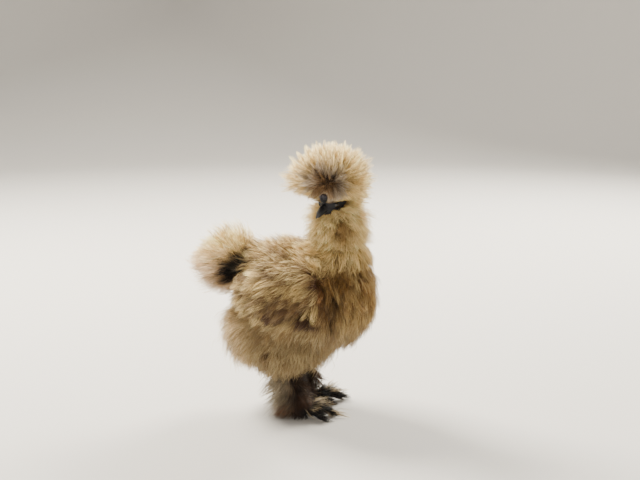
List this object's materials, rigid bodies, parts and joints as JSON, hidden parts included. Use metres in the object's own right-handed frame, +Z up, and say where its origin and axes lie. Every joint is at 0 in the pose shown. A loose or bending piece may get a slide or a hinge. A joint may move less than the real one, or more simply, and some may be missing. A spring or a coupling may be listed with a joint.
{
  "type": "silkie chicken",
  "caption": "Life-size still model of a standing silkie chicken with a round crest, looking over its right side.",
  "frame": {"origin": "on the floor, under the middle of the model's box", "axes": "+X the way the body points, +Y the bird's left, +Z up from the floor to the top of the crest"},
  "size_m": [0.2212, 0.1388, 0.308],
  "materials": {
    "crest_plumage": "soft feather, cream tips",
    "neck_plumage": "soft feather, buff with a gold middle",
    "body_plumage": "soft feather, buff",
    "wing_plumage": "soft feather, buff with dark streaks",
    "thigh_plumage": "soft down, beige buff",
    "tail_plumage": "soft feather, cream outside and dark at the root",
    "leg_plumage": "down over dark skin",
    "foot_plumage": "thin feathers over dark scaly toes",
    "skin": "matt, finely wrinkled",
    "comb_skin": "matt, lumpy",
    "horn": "satin horn",
    "claw": "satin horn",
    "eye": "wet gloss"
  },
  "bodies": {
    "root": {"bill_lower": "horn", "bill_upper": "horn", "claw_fifth_left": "claw", "claw_fifth_right": "claw", "claw_hind_left": "claw", "claw_hind_right": "claw", "claw_inner_left": "claw", "claw_inner_right": "claw", "claw_middle_left": "claw", "claw_middle_right": "claw", "claw_outer_left": "claw", "claw_outer_right": "claw", "comb": "comb_skin", "crest": "crest_plumage", "eye_left": "eye", "eye_right": "eye", "foot_left": "foot_plumage", "foot_right": "foot_plumage", "head": "skin", "neck": "neck_plumage", "shank_left": "leg_plumage", "shank_right": "leg_plumage", "tail": "tail_plumage", "thigh_left": "thigh_plumage", "thigh_right": "thigh_plumage", "torso": "body_plumage", "wing_left": "wing_plumage", "wing_right": "wing_plumage"}
  },
  "joints": []
}
